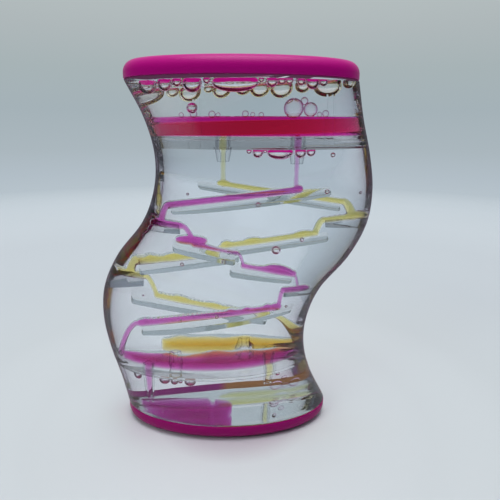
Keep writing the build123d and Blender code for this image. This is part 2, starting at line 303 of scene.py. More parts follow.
def rightEdge(z):
    shares = vessel["edgeShares"]
    last = len(shares) - 1
    place = (z / halfHeight + 1) / 2 * last
    index = min(max(int(place), 0), last - 1)
    t = place - index
    low, high = shares[index], shares[index + 1]
    before = shares[index - 1] if index > 0 else 2 * low - high
    after = shares[index + 2] if index < last - 1 else 2 * high - low
    slopeLow, slopeHigh = (high - before) / 2, (after - low) / 2
    share = (low * (1 + 2 * t) * (1 - t) ** 2 + high * t * t * (3 - 2 * t)
             + slopeLow * t * (1 - t) ** 2 - slopeHigh * t * t * (1 - t))
    return width * share


def centreX(z):
    return (rightEdge(z) - rightEdge(-z)) / 2


def halfWidth(z):
    return (rightEdge(z) + rightEdge(-z)) / 2


def halfDepth(inset):
    return vessel["depth"] / 2 - inset


def sideRow(side, z, inset, away, columns):
    # Half of a level section from left to right, at least so far from the panel's middle
    deep = halfDepth(inset)
    start = asin(away / deep)
    row = []
    for column in range(columns + 1):
        angle = pi - start - (pi - 2 * start) * column / columns
        row.append((centreX(z) + (halfWidth(z) - inset) * cos(angle), side * deep * sin(angle), z))
    return row


def wallY(x, z, inset):
    # The wall's distance from the panel's middle
    share = (x - centreX(z)) / (halfWidth(z) - inset)
    return halfDepth(inset) * sqrt(max(0.0, 1 - share * share))


def quarter(steps):
    return [pi / 2 * index / steps for index in range(steps + 1)]


def fullTurn(steps):
    return [2 * pi * index / steps for index in range(steps)]


# Meshes from rows of points
class Maker:
    def __init__(self):
        self.bm = bmesh.new()
        self.known = {}

    def point(self, place):
        x, y, z = place
        key = (round(x, 5), round(y, 5), round(z, 5))
        if key not in self.known:
            self.known[key] = self.bm.verts.new((x * mm, y * mm, (z + middle) * mm))
        return self.known[key]

    def face(self, places, slot=0):
        corners = []
        for place in places:
            corner = self.point(place)
            if corner not in corners:
                corners.append(corner)
        if len(corners) < 3 or self.bm.faces.get(corners):
            return
        self.bm.faces.new(corners).material_index = slot

    def grid(self, rows, slot=0):
        for rowA, rowB in zip(rows, rows[1:]):
            for a, b, c, d in zip(rowA, rowA[1:], rowB[1:], rowB):
                self.face((a, b, c, d), slot)

    def lid(self, row, slot=0):
        # Closes a symmetric row by joining its two ends, pair by pair
        last = len(row) - 1
        for index in range((last + 1) // 2):
            self.face((row[index], row[index + 1], row[last - index - 1], row[last - index]), slot)

    def closedRows(self, rows):
        # Each row is a loop that ends where it starts
        self.grid(rows)
        self.lid(rows[0][:-1])
        self.lid(rows[-1][:-1])

    def build(self, materials, replaced, sharpAngle=35):
        # The piece has the name of the first node that it replaces
        first, *others = replaced[0].split("_")
        name = first + "".join(word.title() for word in others)
        bmesh.ops.recalc_face_normals(self.bm, faces=self.bm.faces)
        if self.bm.calc_volume(signed=True) < 0:
            bmesh.ops.reverse_faces(self.bm, faces=self.bm.faces)
        mesh = bpy.data.meshes.new(name)
        self.bm.to_mesh(mesh)
        self.bm.free()
        for material in materials:
            mesh.materials.append(material)
        mesh.shade_smooth()
        mesh.set_sharp_from_angle(angle=radians(sharpAngle))
        return addPiece(name, mesh, replaced)


def addPiece(name, mesh, replaced):
    piece = newObject(name, mesh)
    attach(piece, "root")
    if replaced:
        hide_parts(*replaced)
    return piece


vesselLooks = {
    "outside": clear["clearPlasticOutside"],
    "wet": clear["clearPlasticWet"],
    "seam": seamClear,
    "bond": paintedJoinShade,
    "rim": clear["clearPlasticRim"],
    "floor": clear["clearPlasticEnd"],
    "ring": paintedFootBand,
}
slots = {look: index for index, look in enumerate(vesselLooks)}


def chamberLevels():
    step = vessel["height"] / vessel["levels"]
    levels = (-halfHeight + step * index for index in range(vessel["levels"] + 1))
    return [-chamberHalf] + [z for z in levels if abs(z) < chamberHalf - vessel["levelGap"]] + [chamberHalf]


def makeShell(side):
    name, columns, steps = sideNames[side], vessel["columns"], vessel["rimSteps"]
    inner = chamberLevels()
    soft = vessel["endSoft"]
    rim = [(halfHeight - vessel["endGap"] - soft * (1 - sin(angle)), soft * (1 - cos(angle)))
           for angle in quarter(steps)]
    outer = [(-z, inset) for z, inset in reversed(rim)] + [(z, 0) for z in inner[1:-1]] + rim
    maker = Maker()
    outerRows = [sideRow(side, z, inset, panelHalf, columns) for z, inset in outer]
    innerRows = [sideRow(side, z, wall, panelHalf, columns) for z in inner]
    foot = vessel["footRows"][side]
    # The rear foot takes the foot band's glow, a painted reflection; the front foot stays clear
    footSlot = slots["rim" if side == front else "ring"]
    maker.grid(outerRows[:foot], footSlot)
    maker.grid(outerRows[foot - 1:-steps], slots["outside"])
    # The rounded top end is painted with the dark mauve glow, as painted shade at the cap's joint
    maker.grid(outerRows[-steps - 1:], slots["bond"])
    maker.grid(innerRows, slots["wet"])
    # Cement under the wall's lower end, air under the middle
    ring = sideRow(side, outer[0][0], wall + vessel["footRing"], panelHalf, columns)
    maker.grid([outerRows[0], ring], footSlot)
    for row, look in ((ring, "rim"), (outerRows[-1], "rim"), (innerRows[0], "floor"), (innerRows[-1], "floor")):
        maker.lid(row, slots[look])
    for end in (0, -1):
        maker.grid([[row[end] for row in outerRows[steps + 1:-steps - 1]], [row[end] for row in innerRows[1:-1]]],
                   slots["seam"])
    for step in (1, -1):
        tips = outerRows[::step][:steps + 2]
        rows = innerRows[::step][:2]
        last = [ring[-1], ring[0]] if step == 1 else []
        maker.face([row[0] for row in tips] + [rows[1][0], rows[0][0], rows[0][-1], rows[1][-1]]
                   + [row[-1] for row in reversed(tips)] + last, slots["seam"])
    replaced = [f"{name}_shell"] + [f"{name}_{part}_clear_liquid" for part in ("upper", "middle", "lower")]
    return maker.build(vesselLooks.values(), replaced)


def makePanel():
    maker = Maker()
    inner = chamberLevels()
    away = panelHalf - vessel["seamGap"]
    edgeRows = []
    for side in (front, rear):
        rows = []
        for z in [-halfHeight] + inner + [halfHeight]:
            outerRow = sideRow(side, z, 0, away, 2)
            innerRow = sideRow(side, z, wall, away, 2)
            rows.append((outerRow[0], innerRow[0], innerRow[-1], outerRow[-1]))
        for low, high in zip(rows, rows[1:]):
            isWet = abs(low[0][2] + high[0][2]) / 2 < chamberHalf
            for column in range(3):
                look = "wet" if isWet and column == 1 else "seam"
                maker.face((low[column], low[column + 1], high[column + 1], high[column]), slots[look])
        edgeRows.append(rows)
    for column in (0, 3):
        maker.grid([[row[column] for row in rows] for rows in edgeRows], slots["outside"])
    for end in (0, -1):
        maker.grid([edgeRows[0][end], edgeRows[1][end]], slots["outside"])
    looks = list(vesselLooks.values())[:3]
    return maker.build(looks, ["centre_panel"])


for side in (front, rear):
    makeShell(side)
makePanel()
print("vessel made")


# Caps and filler plugs
caps = {
    "edgeRadius": 4.5,
    "edgeSteps": 12,
    "rimGap": 0.08,
    "rimSoft": 0.35,
    "rimSteps": 4,
    # The seat's distance from the edge, its depth, and its slanted corner
    "seat": 4.0,
    "recess": 1.7,
    "cornerBreadth": 1.5,
    "cornerHeight": 0.5,
    "columns": 160,
    "sharpAngle": 40,
    "plugOffset": 10.0,
    "plugRadius": 4.5,
    "plugHeight": 1.4,
    "plugGap": 0.05,
    "plugSoft": 0.3,
}


def cornerArc(fromInset, fromHeight, toInset, toHeight, steps):
    # A quarter round between a level face and an upright one
    return [(fromInset + (toInset - fromInset) * (1 - cos(angle)),
             fromHeight + (toHeight - fromHeight) * sin(angle)) for angle in quarter(steps)]


def turnedBlock(centre, radii, end, outline, materials, nodeName):
    # Rings of an ellipse, each so far in from the edge and so far from the vessel's end
    maker = Maker()
    rows = []
    for inset, height in outline:
        ring = [(centre[0] + (radii[0] - inset) * cos(angle), centre[1] + (radii[1] - inset) * sin(angle),
                 end * (halfHeight + height)) for angle in fullTurn(caps["columns"])]
        rows.append(ring + ring[:1])
    maker.grid(rows[:3], len(materials) - 1)
    maker.grid(rows[2:])
    maker.lid(rows[0][:-1], len(materials) - 1)
    maker.lid(rows[-1][:-1])
    return maker.build(materials, [nodeName], caps["sharpAngle"])


seat, recess, rimGap = caps["seat"], caps["recess"], caps["rimGap"]
capOutline = [(seat + caps["cornerBreadth"], recess), (seat, recess - caps["cornerHeight"]), (seat, rimGap)]
capOutline += reversed(cornerArc(0, rimGap + caps["rimSoft"], caps["rimSoft"], rimGap, caps["rimSteps"]))
capOutline += cornerArc(0, vessel["capHeight"] - caps["edgeRadius"], caps["edgeRadius"], vessel["capHeight"],
                        caps["edgeSteps"])
# The recess under each cap is painted with the glow of daylight through the cap
for capName, end in (("top_cap", 1), ("bottom_cap", -1)):
    turnedBlock((centreX(end * halfHeight), 0), (width / 2, vessel["depth"] / 2), end, capOutline,
                (magenta, paintedCapDaylight), capName)
plugSoft, plugGap, plugTop = caps["plugSoft"], caps["plugGap"], caps["plugHeight"]
plugOutline = [(plugSoft, plugGap), (0, plugGap + plugSoft), (0, plugTop - plugSoft), (plugSoft, plugTop)]
for side in (front, rear):
    turnedBlock((centreX(halfHeight), side * caps["plugOffset"]), (caps["plugRadius"], caps["plugRadius"]), 1,
                plugOutline, (vesselLooks["outside"],), f"{sideNames[side]}_filler_plug")
print("caps made")


# In millimetres, or for places as shares of the width and of half the height, from the middle
fittings = {
    "trayLevel": 42.7,
    "trayThickness": 3.2,
    # A tray's lower face, the edges of the groove round it, and its upper face
    "plate": (42.1, 45.2, 45.35, 46.4),
    "plateSoft": 0.5,
    "wellOffset": 9.0,
    "nozzle": {front: 0.261, rear: -0.024},
    "riser": {front: 0.384, rear: -0.13},
    "riserEnd": 60.3,
    "rampThickness": 2.2,
    "long": {front: ((0.405, 0.412), (-0.257, 0.291)), rear: ((-0.128, 0.417), (0.451, 0.297))},
    "short": {front: ((-0.252, 0.089), (0.012, 0.032)), rear: ((0.406, 0.13), (-0.027, 0.015))},
    "ledge": {front: ((-0.219, 0.182), (-0.36, 0.192)), rear: ((0.392, 0.2), (0.529, 0.22))},
    "ledgeTip": 1.0,
    "ledgeRoot": 5.0,
    "ledgeTuck": 12.0,
    "softEdge": 0.15,
    "gap": 0.04,
    "stations": 40,
    # The least half thickness of a round end, and of any edge
    "leastEnd": 0.02,
    "leastEdge": 0.01,
    "sharpAngle": 50,
}
trayLevel = fittings["trayLevel"]
trayOuter = trayLevel + fittings["trayThickness"]
wellOffset = fittings["wellOffset"]
plateInner, plateOuter = fittings["plate"][0], fittings["plate"][3]
colourNames = {front: "pink", rear: "yellow"}


def placed(share):
    return share[0] * width, share[1] * halfHeight


def twinLine(line):
    # The same piece after the vessel is turned over
    return tuple((-x, -z, thick) for x, z, thick in line)


def rampLine(side, kind):
    return tuple((*placed(share), fittings["rampThickness"]) for share in fittings[kind][side])


def ledgeLine(side):
    tip, root = (placed(share) for share in fittings["ledge"][side])
    way = copysign(fittings["ledgeTuck"], root[0] - tip[0])
    return (*tip, fittings["ledgeTip"]), (root[0] + way, root[1], fittings["ledgeRoot"])


def wallX(z, way, inset, away):
    # The chamber's end to one side at that level
    share = sqrt(1 - (away / halfDepth(inset)) ** 2)
    return centreX(z) + way * (halfWidth(z) - inset) * share


def lineAt(line, x):
    # Level and half thickness
    (xA, zA, thickA), (xB, zB, thickB) = line
    share = (x - xA) / (xB - xA)
    return zA + share * (zB - zA), (thickA + share * (thickB - thickA)) / 2


def makeRib(side, line, isRound, nodeName):
    # A bar from the panel to the curved wall, with softened long edges
    line = left, right = sorted(line)
    near = panelHalf + fittings["gap"]
    inset = wall + fittings["gap"]
    soft = fittings["softEdge"]
    low = max(left[0], wallX(left[1], -1, inset, near + 3 * soft))
    high = min(right[0], wallX(right[1], 1, inset, near + 3 * soft))
    stations = []
    for index in range(fittings["stations"] + 1):
        x = low + (high - low) * (1 - cos(pi * index / fittings["stations"])) / 2
        z, thick = lineAt(line, x)
        if isRound:
            inside = min(x - low, high - x, thick)
            thick = sqrt(max(thick * thick - (thick - inside) ** 2, fittings["leastEnd"] ** 2))
        stations.append((x, z, thick))
    rows = []
    for away, thinner in ((0, soft), (soft, 0), (-soft, 0), (0, soft)):
        isFar = len(rows) > 1
        loop = []
        for way, run in ((1, stations), (-1, list(reversed(stations)))):
            for x, z, thick in run:
                y = wallY(x, z, inset) if isFar else near
                loop.append((x, side * (y + away), z + way * max(thick - thinner, fittings["leastEdge"])))
        rows.append(loop + loop[:1])
    maker = Maker()
    maker.closedRows(rows)
    look = clear["clearPlasticInner" if isRound else "clearPlasticWell"]
    return maker.build((look,), [nodeName], fittings["sharpAngle"])


for side in (front, rear):
    lines = {"long_ramp": rampLine(side, "long"), "short_ramp": rampLine(side, "short"), "ledge": ledgeLine(side)}
    for kind, line in lines.items():
        makeRib(side, line, kind != "ledge", f"{sideNames[side]}_{kind}_upper")
        makeRib(side, twinLine(line), kind != "ledge", f"{sideNames[side]}_{kind}_lower")
print("ramps and ledges made")


# Pools of coloured liquid
pools = {
    "upperDepth": {front: 7.2, rear: 6.3},
    "film": 0.06,
    "meniscus": 0.5,
    "traySpan": {front: (-0.505, 0.337), rear: (-0.334, 0.29)},
    "trayDepth": {front: 3.4, rear: 4.2},
    "bottomSpan": {front: (-0.43, -0.009), rear: (-0.081, 0.349)},
    "bottomDepth": {front: 4.2, rear: 1.2},
    "columns": 60,
    "blockColumns": 64,
    "shore": 0.7,
    # Least depth between the panel and the wall at a pool's ends
    "endDepth": 2,
    "leastHalf": 0.05,
    "roundEdge": 0.6,
    "waveHeight": 0.22,
    # Radians per millimetre of a long and a short wave, and the short one's share and slant
    "waveRates": (0.21, 0.47),
    "shortWave": 0.6,
    "waveSlant": 0.3,
    # Place, depth and half width of a dent in the edge: below 0, the dent is in the edge away from the camera
    "nozzleDent": {front: (-0.213, -0.36, 6.6), rear: (0.024, 0.55, 2.9)},
    "bottomDent": {front: (-0.103, -0.22, 1.0), rear: (0.2, 0.3, 2.5)},
    "bottomReach": {front: (0, 1), rear: (0.16, 0.5)},
}
film = pools["film"]


def roundedLevels(low, high, radius, steps=5):
    # Level and inset pairs that round both edges of a block
    lower = [(low + radius * (1 - cos(angle)), radius * (1 - sin(angle))) for angle in quarter(steps)]
    return lower + [(low + high - z, inset) for z, inset in reversed(lower)]


def chamberBlock(side, levels, material, nodeName):
    maker = Maker()
    rows = [sideRow(side, z, wall + film + inset, panelHalf + film + inset,
                    pools["blockColumns"]) for z, inset in levels]
    maker.grid(rows)
    maker.lid(rows[0])
    maker.lid(rows[-1])
    maker.grid([[row[0] for row in rows], [row[-1] for row in rows]])
    return maker.build((material,), [nodeName])


def puddle(side, low, depth, span, across, dent, look, nodeName):
    # A pool with a rounded outline and a gently wavy top
    left, right = (share * width for share in span)
    inset = wall + pools["shore"]
    nearest = panelHalf + pools["shore"]
    left = max(left, wallX(low, -1, inset, nearest + pools["endDepth"]))
    right = min(right, wallX(low, 1, inset, nearest + pools["endDepth"]))
    middleX, half = (left + right) / 2, (right - left) / 2
    dentX, dip, dentHalf = dent[0] * width, dent[1], dent[2]
    longRate, shortRate = pools["waveRates"]
    maker = Maker()
    rows = []
    for z, shrink in roundedLevels(low, low + depth, pools["roundEdge"]):
        share = (z - low) / depth
        loop = []
        for way in (1, -1):
            for index in range(pools["columns"] + 1):
                along = -way * cos(pi * index / pools["columns"])
                x = middleX + (half - shrink) * along
                squeeze = (1 - abs(along) ** 4) ** 0.5
                deep = wallY(x, low, inset) - nearest
                near, far = nearest + across[0] * deep, nearest + across[1] * deep
                lost = abs(dip) * (far - near) * exp(-((x - dentX) / dentHalf) ** 4)
                if (dip > 0) == (side == front):
                    far -= lost
                else:
                    near += lost
                centre, reach = (near + far) / 2, (far - near) / 2
                y = centre + way * max(reach - shrink, pools["leastHalf"]) * squeeze
                wave = sin(x * longRate + side)
                wave += pools["shortWave"] * sin(x * shortRate + pools["waveSlant"] * y)
                loop.append((x, side * y, z + pools["waveHeight"] * share * wave))
        rows.append(loop + loop[:1])
    maker.closedRows(rows)
    return maker.build((dyed[look],), [nodeName])


for side in (front, rear):
    for levelName, sign in (("upper", 1), ("lower", -1)):
        low, grooveLow, grooveHigh, high = fittings["plate"]
        pairs = roundedLevels(low, grooveLow, fittings["plateSoft"])
        pairs += roundedLevels(grooveHigh, high, fittings["plateSoft"])
        pairs = [(sign * z, inset) for z, inset in pairs[::sign]]
        chamberBlock(side, pairs, clear["clearPlasticTray"], f"{levelName}_{sideNames[side]}_tray")
for side in (front, rear):
    colour = colourNames[side]
    top = trayOuter + pools["upperDepth"][side]
    levels = roundedLevels(plateOuter + film, top, pools["meniscus"])
    chamberBlock(side, levels, dyed[f"{colour}Band"], f"{colour}_upper_pool")
    puddle(side, film - plateInner, pools["trayDepth"][side], pools["traySpan"][side], (0, 1),
           pools["nozzleDent"][side], f"{colour}Pool", f"{colour}_tray_pool")
    puddle(side, film - chamberHalf, pools["bottomDepth"][side], pools["bottomSpan"][side],
           pools["bottomReach"][side], pools["bottomDent"][side], f"{colour}Floor", f"{colour}_bottom_pool")
print("pools made")


# Geometry Nodes: seeds with a size each, grown into one plain mesh
def newGraph(name, inputs):
    group = bpy.data.node_groups.new(name, "GeometryNodeTree")
    main = {"Geometry": "Geometry"}
    for way, sockets in (("INPUT", main | inputs), ("OUTPUT", main)):
        for socketName, kind in sockets.items():
            group.interface.new_socket(socketName, in_out=way, socket_type=f"NodeSocket{kind}")
    tree = Tree(group)
    holder = tree.add("NodeGroupInput").socket.node
    return group, tree, {socket.name: Wire(tree, socket) for socket in holder.outputs}


def streamGraph():
    group, tree, wires = newGraph("liquidThread", {"Voxel": "Float", "Smoothing": "Int", "Material": "Material"})
    radius = tree.add("GeometryNodeInputNamedAttribute", {"Name": "radius"})
    points = tree.add("GeometryNodeMeshToPoints", {"Mesh": wires["Geometry"], "Radius": radius})
    volume = tree.add("GeometryNodePointsToVolume", {
        "Points": points, "Voxel Size": wires["Voxel"], "Radius": radius}, resolution_mode="VOXEL_SIZE")
    skin = tree.add("GeometryNodeVolumeToMesh", {"Volume": volume})
    position = tree.add("GeometryNodeInputPosition")
    smooth = tree.add("GeometryNodeBlurAttribute", {
        "Value": position, "Iterations": wires["Smoothing"]}, data_type="FLOAT_VECTOR")
    moved = tree.add("GeometryNodeSetPosition", {"Geometry": skin, "Position": smooth})
    real = tree.add("GeometryNodeRealizeInstances", {"Geometry": moved})
    coated = tree.add("GeometryNodeSetMaterial", {"Geometry": real, "Material": wires["Material"]})
    tree.add("NodeGroupOutput", {"Geometry": coated})
    return group


def bubbleGraph():
    group, tree, wires = newGraph("bubbles", {
        "Detail": "Int", "Flat Top": "Float", "Top From": "Float", "Material": "Material",
        "Top Material": "Material"})
    ball = tree.add("GeometryNodeMeshIcoSphere", {"Subdivisions": wires["Detail"]})
    split = tree.add("ShaderNodeSeparateXYZ", {0: tree.add("GeometryNodeInputPosition")})
    parts = [Wire(tree, split.socket.node.outputs[index]) for index in range(3)]
    flat = tree.add("ShaderNodeCombineXYZ", {
        0: parts[0], 1: parts[1], 2: parts[2].maths("MINIMUM", parts[2], wires["Flat Top"])})
    cut = tree.add("GeometryNodeSetPosition", {"Geometry": ball, "Position": flat})
    size = tree.add("GeometryNodeInputNamedAttribute", {"Name": "size"}, data_type="FLOAT_VECTOR")
    spin = tree.add("FunctionNodeRandomValue", {"Min": -0.2, "Max": 0.2, "Seed": 7}, 1)
    turn = tree.add("ShaderNodeCombineXYZ", {2: spin})
    crowd = tree.add("GeometryNodeInstanceOnPoints", {
        "Points": wires["Geometry"], "Instance": cut, "Rotation": turn, "Scale": size})
    real = tree.add("GeometryNodeRealizeInstances", {"Geometry": crowd})
    coated = tree.add("GeometryNodeSetMaterial", {"Geometry": real, "Material": wires["Material"]})
    # The flat top of a hanging bubble is painted with the cap's glow, a painted view of the cap above it
    upward = partOf(tree, tree.add("GeometryNodeInputNormal"), 2)
    isTop = tree.add("FunctionNodeCompare", {0: upward, 1: wires["Top From"]}, operation="GREATER_THAN")
    topped = tree.add("GeometryNodeSetMaterial", {
        "Geometry": coated, "Selection": isTop, "Material": wires["Top Material"]})
    tree.add("NodeGroupOutput", {"Geometry": topped})
    return group


def grow(name, group, inputs, seeds, attribute, replaced=()):
    # seeds: places in millimetres from the vessel's middle, each with a size
    mesh = bpy.data.meshes.new(f"{name}Seeds")
    mesh.from_pydata([(x * mm, y * mm, (z + middle) * mm) for (x, y, z), size in seeds], [], [])
    kind = "FLOAT" if attribute == "radius" else "FLOAT_VECTOR"
    store = mesh.attributes.new(attribute, kind, "POINT")
    for item, (spot, size) in zip(store.data, seeds):
        if kind == "FLOAT":
            item.value = size * mm
        else:
            item.vector = [part * mm for part in size]
    holder = newObject(f"{name}Seeds", mesh)
    modifier = holder.modifiers.new("grow", "NODES")
    modifier.node_group = group
    for item in group.interface.items_tree:
        if item.in_out == "INPUT" and item.name in inputs:
            modifier[item.identifier] = inputs[item.name]
    graph = bpy.context.evaluated_depsgraph_get()
    grown = bpy.data.meshes.new_from_object(holder.evaluated_get(graph))
    holder.modifiers.remove(modifier)
    bpy.data.objects.remove(holder)
    grown.shade_smooth()
    grown.set_sharp_from_angle(angle=radians(30))
    return addPiece(name, grown, replaced)


# Streams: down each ramp, over its end and on to the next
streams = {
    "radius": {front: 1.3, rear: 1.12},
    # Each fall in turn: its reach to the side, and its radius
    "falls": {
        front: ((4.2, 1.3), (5.2, 1.0), (2.8, 0.6), (2.4, 0.55), (2.2, 0.9)),
        rear: ((4.2, 1.3), (3.3, 1.2), (3.2, 0.8), (3.6, 1.2), (4.3, 1.0)),
    },
    "lastFall": 0.95,
    "thinnest": 0.6,
    # A fall leaves nearly level, then drops: powers of the share covered, and breadth
    "fallPowers": (0.75, 1.6),
    "fallBreadth": 0.45,
    # How far a run goes past each kind of piece, and starts behind the nozzle
    "past": {"long": 0.6, "short": 0.5, "ledge": 0.3},
    "behind": 1.2,
    "rest": 0.9,
    "threadRadius": {front: 0.85, rear: 0.95},
    # In a nozzle and a drain: radius, what it loses on the way, and start below the top
    "nozzle": (1.45, 0.35, 0.4),
    "drain": (1.65, 0.9, 0.2),
    "beads": (0.06, 1.1),
    "spread": 1.3,
    "step": 0.35,
    "overshoot": 3.4,
    # A thick drop on the upper short ramp: place, level, half length and radius
    "drop": {front: ((-0.171, 0.124, 5.4, 1.75),), rear: ()},
    "dropEnd": 0.5,
    # Where the last fall meets the tray's pool, and the share of its depth
    "landing": {front: -0.519, rear: 0.256},
    "landingShare": 0.6,
    "voxel": 0.24,
    "smoothing": 3,
    # Where the liquid gathers: place, level, half length and extra radius
    "blobs": {
        front: ((-0.04, 0.09, 7.5, -0.65), (0.195, -0.02, 4.6, 0.7), (0.08, 0.0, 5.0, -0.35),
                (-0.32, 0.27, 2.6, 0.3), (0.3, -0.14, 1.6, 0.15), (0.18, -0.27, 1.2, 0.3), (0.145, -0.27, 1.1, 0.35),
                (0.055, -0.29, 1.1, 0.3), (-0.015, -0.3, 1.1, 0.3), (-0.39, -0.36, 2.2, 0.2),
                (0.27, 0.41, 1.5, 0.2), (-0.01, 0.37, 1.2, 0.1)),
        rear: ((0.51, 0.25, 3.0, 0.35), (0.3, 0.12, 3.0, 0.3), (0.09, 0.08, 3.0, 0.4),
               (-0.02, 0.05, 1.5, 0.35), (-0.25, -0.06, 3.5, 0.35), (-0.35, -0.08, 2.0, 0.3), (-0.45, -0.2, 1.6, 0.3),
               (-0.24, -0.31, 3.0, 0.35), (-0.1, -0.33, 3.0, 0.3), (0.04, -0.36, 2.0, 0.35),
               (-0.02, 0.43, 1.6, 0.3), (0.2, 0.38, 2.0, 0.2)),
    },
    "blobLevels": 6,
    "blobPower": 0.7,
    "blobLift": 0.85,
    "widening": {front: 0.3, rear: 1.7},
    "wideningPower": 1.5,
}
step = streams["step"]


def topOf(line, x):
    level, half = lineAt(line, x)
    return level + half


def alongRun(line, start, end, radius):
    # Points as place, level, breadth and radius
    count = max(2, int(abs(end - start) / step))
    return [(x, topOf(line, x) + radius * streams["rest"], 1.0, radius)
            for x in (start + (end - start) * index / count for index in range(count + 1))]


def fallRun(start, end, radius):
    (xA, zA), (xB, zB) = start, end
    sidePower, downPower = streams["fallPowers"]
    count = max(6, int((abs(zB - zA) + abs(xB - xA)) / step))
    return [(xA + (xB - xA) * t ** sidePower, zA + (zB - zA) * t ** downPower, streams["fallBreadth"], radius)
            for t in (index / count for index in range(count + 1))]


def dropRun(shareX, shareZ, half, radius):
    count = int(2 * half / step)
    end = streams["dropEnd"]
    return [(shareX * width + half * along, shareZ * halfHeight, 1.0,
             end + (radius - end) * (1 - along * along) ** 0.5)
            for along in (2 * index / count - 1 for index in range(count + 1))]


def streamSeeds(side):
    longLine, shortLine, ledge = rampLine(side, "long"), rampLine(side, "short"), ledgeLine(side)
    thick, falls, past = streams["radius"][side], streams["falls"][side], streams["past"]
    way = 1 if longLine[1][0] > longLine[0][0] else -1
    (longStart, longEnd), (shortStart, shortEnd) = ([end[0] for end in line] for line in (longLine, shortLine))
    tip = ledge[0][0]
    walk = [
        (longLine, fittings["nozzle"][side] * width - way * streams["behind"], longEnd + way * past["long"]),
        (ledge, longEnd + way * falls[0][0], tip - way * past["ledge"]),
        (shortLine, tip - way * falls[1][0], shortEnd - way * past["short"]),
        (twinLine(shortLine), shortEnd - way * falls[2][0], -shortStart - way * past["short"]),
        (twinLine(ledge), -shortStart - way * falls[3][0], -tip + way * past["ledge"]),
        (twinLine(longLine), -tip + way * falls[4][0], -longStart + way * past["long"]),
    ]
    runs = []
    for index, (line, start, end) in enumerate(walk):
        run = alongRun(line, start, end, thick)
        if runs:
            runs.append(fallRun(runs[-1][-1][:2], run[0][:2], falls[index - 1][1]))
        runs.append(run)
    landing = (streams["landing"][side] * width,
               streams["lastFall"] - plateInner + pools["trayDepth"][side] * streams["landingShare"])
    last = fallRun(runs[-1][-1][:2], landing, streams["lastFall"])
    # Each ledge holds a little liquid behind the stream's landing
    for (line, start, end), back in ((walk[1], way), (walk[4], -way)):
        runs.append(alongRun(line, start + back * streams["overshoot"], start, thick))
    drops = [dropRun(*drop) for drop in streams["drop"][side]]
    seeds = []
    offset = side * wellOffset
    for run in runs + drops + [last]:
        for index, (x, z, breadth, plain) in enumerate(run):
            radius = plain
            for shareX, shareZ, half, extra in () if run in drops else streams["blobs"][side]:
                blobX, blobZ = shareX * width, shareZ * halfHeight
                if abs(z - blobZ) < streams["blobLevels"] and abs(x - blobX) < half:
                    radius += extra * cos(pi / 2 * (x - blobX) / half) ** streams["blobPower"]
            if run is last:
                radius += streams["widening"][side] * (index / len(run)) ** streams["wideningPower"]
            radius = max(radius, streams["thinnest"])
            # On a ramp the thicker liquid stands higher
            lifted = z + (radius - plain) * streams["blobLift"] if breadth == 1 else z
            for shift in (-1, 0, 1):
                seeds.append(((x, offset + shift * streams["spread"] * breadth, lifted), radius))
    return seeds


def threadSeeds(side):
    # From the nozzle to the first ramp, and from the lower riser to the bottom
    x, y = fittings["nozzle"][side] * width, side * wellOffset
    thin = streams["threadRadius"][side]
    beadShare, beadRate = streams["beads"]
    wide, taper, start = streams["nozzle"]
    bottom = topOf(rampLine(side, "long"), x)
    seeds = []
    z = trayOuter - start
    while z > bottom:
        radius = wide if z > trayLevel else max(thin, wide - (trayLevel - z) * taper)
        seeds.append(((x, y, z), radius * (1 + beadShare * sin(z * beadRate))))
        z -= step
    x = -fittings["riser"][side] * width
    wide, taper, start = streams["drain"]
    z = -trayLevel - start
    while z > -fittings["riserEnd"]:
        share = (-trayLevel - z) / (fittings["riserEnd"] - trayLevel)
        seeds.append(((x, y, z), wide - taper * share))
        z -= step
    return seeds


threadGraph = streamGraph()
for side in (front, rear):
    colour = colourNames[side]
    grow(f"{colour}Stream", threadGraph,
         {"Voxel": streams["voxel"] * mm, "Smoothing": streams["smoothing"], "Material": dyed[f"{colour}Stream"]},
         streamSeeds(side) + threadSeeds(side), "radius", [f"{colour}_stream", f"{colour}_drain"])
print("streams made")


